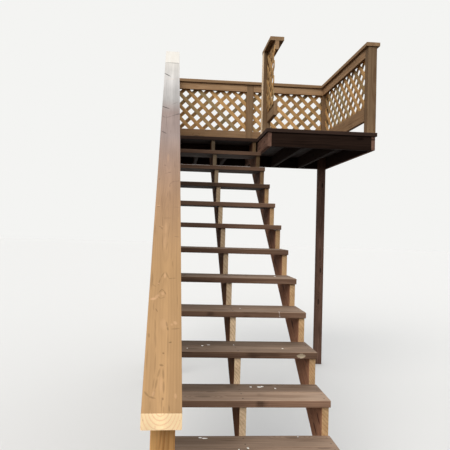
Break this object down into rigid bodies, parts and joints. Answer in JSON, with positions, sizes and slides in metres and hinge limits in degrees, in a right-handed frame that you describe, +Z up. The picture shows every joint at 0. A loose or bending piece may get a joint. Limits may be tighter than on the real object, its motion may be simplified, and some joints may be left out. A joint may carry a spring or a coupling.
{
  "type": "wooden deck stairs",
  "caption": "Straight open-riser wooden flight on notched stringers, with a sloping handrail, rising to a small deck with a lattice guard.",
  "frame": {"origin": "middle of the centre stringer's sole, on the ground", "axes": "+Z up, +Y the way the flight climbs, +X to the right of a person who climbs it"},
  "size_m": [2.1515, 4.6672, 3.616],
  "materials": {
    "stringers": "sawn faces, brown stain",
    "treads": "worn brown stain",
    "rail_posts": "warm brown stain",
    "handrail": "new wood, lightly stained",
    "new_board": "bare new wood",
    "framing": "dark brown stain",
    "guard": "brown stain",
    "lattice": "tan, rough sawn"
  },
  "bodies": {
    "root": {"stringer_left": "stringers", "stringer_middle": "stringers", "stringer_right": "stringers", "tread_01": "treads", "tread_02": "treads", "tread_03": "treads", "tread_04": "treads", "tread_05": "treads", "tread_06": "treads", "tread_07": "treads", "tread_08": "treads", "tread_09": "treads", "tread_10": "treads", "tread_11": "treads", "tread_12": "treads", "tread_13": "treads", "newel_post": "rail_posts", "middle_rail_post": "rail_posts", "top_rail_post": "rail_posts", "handrail_stiffener": "rail_posts", "handrail_cap": "handrail", "handrail_cap_piece": "new_board", "deck_boards_landing": "treads", "deck_boards_side": "treads", "deck_joists": "framing", "rim_far": "framing", "rim_left": "framing", "rim_right": "framing", "rim_side": "framing", "rim_stair_head": "framing", "ledger": "framing", "support_posts": "framing", "guard_posts": "guard", "guard_rails_far": "guard", "guard_rails_sides": "guard", "guard_cap_far": "guard", "guard_cap_left": "guard", "guard_cap_right": "guard", "guard_cap_side": "guard", "lattice_far_left": "lattice", "lattice_far_right": "lattice", "lattice_left": "lattice", "lattice_right": "lattice", "lattice_side": "lattice"}
  },
  "joints": []
}
